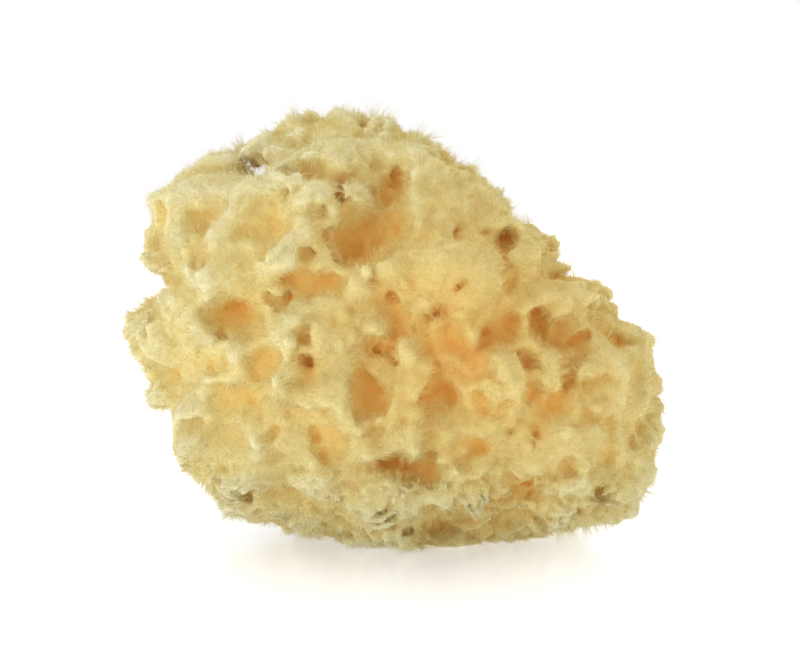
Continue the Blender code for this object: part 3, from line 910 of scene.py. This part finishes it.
locks, lock_lengths, lock_tree = lock_points()
nap_material, tree, shader = new_material("spongin nap")
shader.inputs["Roughness"].default_value = 1.0
shader.inputs["Specular IOR Level"].default_value = 0.05
# the chart's X is each fibre's tone, with the painted shade of the hollows and creases, and its Y the
# fibre's own lightness
place = tree.nodes.new("ShaderNodeUVMap")
place.uv_map = "OFBake"
split = tree.nodes.new("ShaderNodeSeparateXYZ")
tree.links.new(place.outputs["UV"], split.inputs[0])
colour = tree.nodes.new("ShaderNodeGroup")
colour.node_tree = spongin
tree.links.new(split.outputs["X"], colour.inputs["Tone"])
tree.links.new(spread(tree, split.outputs["Y"], *NAP_SHADES), colour.inputs["Shade"])
tree.links.new(colour.outputs["Colour"], shader.inputs["Base Color"])

nap_pieces = [nap_piece(n) for n in range(NAP_PIECES)] + [fuzz_piece(n) for n in range(FUZZ_PIECES)]
for nap, tone, shade in nap_pieces:
    chart = nap.data.uv_layers.new(name="OFBake")
    corner = np.empty(len(nap.data.loops), np.int32)
    nap.data.loops.foreach_get("vertex_index", corner)
    spot = np.stack((tone, shade), 1)[corner // (len(nap.data.vertices) // len(tone))]
    chart.data.foreach_set("uv", np.clip(spot, CHART_EDGE, 1 - CHART_EDGE).astype(np.float32).ravel())
    nap.data.materials.append(nap_material)
    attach(nap, "root")

# The floor and the light
# A sheet of glossy white acrylic under a white cyclorama, lit by large soft boxes and from below,
# where the light dims towards the middle.
FLOOR_HALF = 3.0
FLOOR_GREY = 0.42
FLOOR_ROUGHNESS = 0.2
GLOW_SCALE = (9.0, 5.0, 0.0)  # one over how far, in metres, the dimmed part reaches along X and Y
GLOW_START = 0.25  # the share of that reach which is dimmed evenly, and the light left there
GLOW_LEAST = 0.46
floor_mesh = bpy.data.meshes.new("floor")
floor_corners = [(FLOOR_HALF * x, FLOOR_HALF * y, 0) for x, y in ((-1, -1), (1, -1), (1, 1), (-1, 1))]
floor_mesh.from_pydata(floor_corners, [], [(0, 1, 2, 3)])
floor = bpy.data.objects.new("floor", floor_mesh)
bpy.context.scene.collection.objects.link(floor)
floor_material, floor_tree, floor_shader = new_material("white acrylic")
floor_shader.inputs["Base Color"].default_value = (FLOOR_GREY, FLOOR_GREY, FLOOR_GREY, 1)
floor_shader.inputs["Roughness"].default_value = FLOOR_ROUGHNESS
floor_shader.inputs["Emission Strength"].default_value = 1.0
floor_place = floor_tree.nodes.new("ShaderNodeTexCoord")
glow_place = floor_tree.nodes.new("ShaderNodeVectorMath")
glow_place.operation = "MULTIPLY"
glow_place.inputs[1].default_value = GLOW_SCALE
glow_far = floor_tree.nodes.new("ShaderNodeVectorMath")
glow_far.operation = "LENGTH"
glow = floor_tree.nodes.new("ShaderNodeMapRange")
glow.inputs["From Min"].default_value = GLOW_START
glow.inputs["To Min"].default_value = GLOW_LEAST
floor_tree.links.new(floor_place.outputs["Object"], glow_place.inputs[0])
floor_tree.links.new(glow_place.outputs[0], glow_far.inputs[0])
floor_tree.links.new(glow_far.outputs["Value"], glow.inputs["Value"])
floor_tree.links.new(glow.outputs[0], floor_shader.inputs["Emission Color"])
floor_mesh.materials.append(floor_material)
floor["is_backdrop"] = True

AIR_LIGHT = 0.77  # light from the white walls all round
world = bpy.data.worlds.new("studio")
bpy.context.scene.world = world
world.use_nodes = True
light_air = world.node_tree.nodes["Background"]
light_air.inputs["Color"].default_value = (1, 1, 1, 1)
light_air.inputs["Strength"].default_value = AIR_LIGHT
seen_air = world.node_tree.nodes.new("ShaderNodeBackground")
seen_air.inputs["Color"].default_value = (1, 1, 1, 1)
choose = world.node_tree.nodes.new("ShaderNodeMixShader")
ray = world.node_tree.nodes.new("ShaderNodeLightPath")
world.node_tree.links.new(ray.outputs["Is Camera Ray"], choose.inputs[0])
world.node_tree.links.new(light_air.outputs[0], choose.inputs[1])
world.node_tree.links.new(seen_air.outputs[0], choose.inputs[2])
world.node_tree.links.new(choose.outputs[0], world.node_tree.nodes["World Output"].inputs["Surface"])


def look_along(direction):
    """The Euler turn that points a lamp's or a camera's own -Z along a direction."""
    x, y, z = unit(direction)
    return (np.arccos(-z), 0, np.arctan2(-x, y))


def soft_box(name, place, aim, size, power):
    """A square area light at a place, turned to face the aim."""
    light = bpy.data.lights.new(name, "AREA")
    light.shape = "SQUARE"
    light.size = size
    light.energy = power
    made = bpy.data.objects.new(name, light)
    made.location = place
    direction = np.array(aim) - np.array(place)
    made.rotation_euler = look_along(direction)
    bpy.context.scene.collection.objects.link(made)


# The soft boxes: name, place, what each faces, side and watts
SOFT_BOXES = (
    ("key", (-0.75, -0.8, 0.3), (0, 0, 0.06), 0.8, 0.8),
    ("low", (-0.5, -0.6, 0.06), (-0.03, 0, 0.02), 0.3, 1.1),
    ("top", (-0.2, 0.25, 0.9), (0, 0, 0.06), 0.8, 2.6),
)
for values in SOFT_BOXES:
    soft_box(*values)

# The camera
# A long lens a little above the sponge's middle, so far off that the sponge stands in the picture
# at its real proportions, with the floor seen at a low angle.
PIXEL = 0.27 * MM  # one pixel of the photograph at the sponge
IMAGE_WIDTH = 800
SENSOR = 36.0
LENS = 120.0
RISE = 4.0  # degrees above level
AIM = np.array([0.0, -0.02, 0.0589])
distance = PIXEL * IMAGE_WIDTH * LENS / SENSOR
camera = bpy.data.objects.new("camera", bpy.data.cameras.new("camera"))
camera.data.lens = LENS
camera.data.sensor_width = SENSOR
back = np.array([0, -np.cos(np.radians(RISE)), np.sin(np.radians(RISE))])
camera.location = AIM + distance * back
camera.rotation_euler = look_along(-back)
bpy.context.scene.collection.objects.link(camera)
bpy.context.scene.camera = camera
bpy.context.scene.view_settings.view_transform = "Standard"

boxes = {"cad": solid_box, "visual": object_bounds()}
boxes = {name: [[float(v) for v in corner] for corner in box] for name, box in boxes.items()}
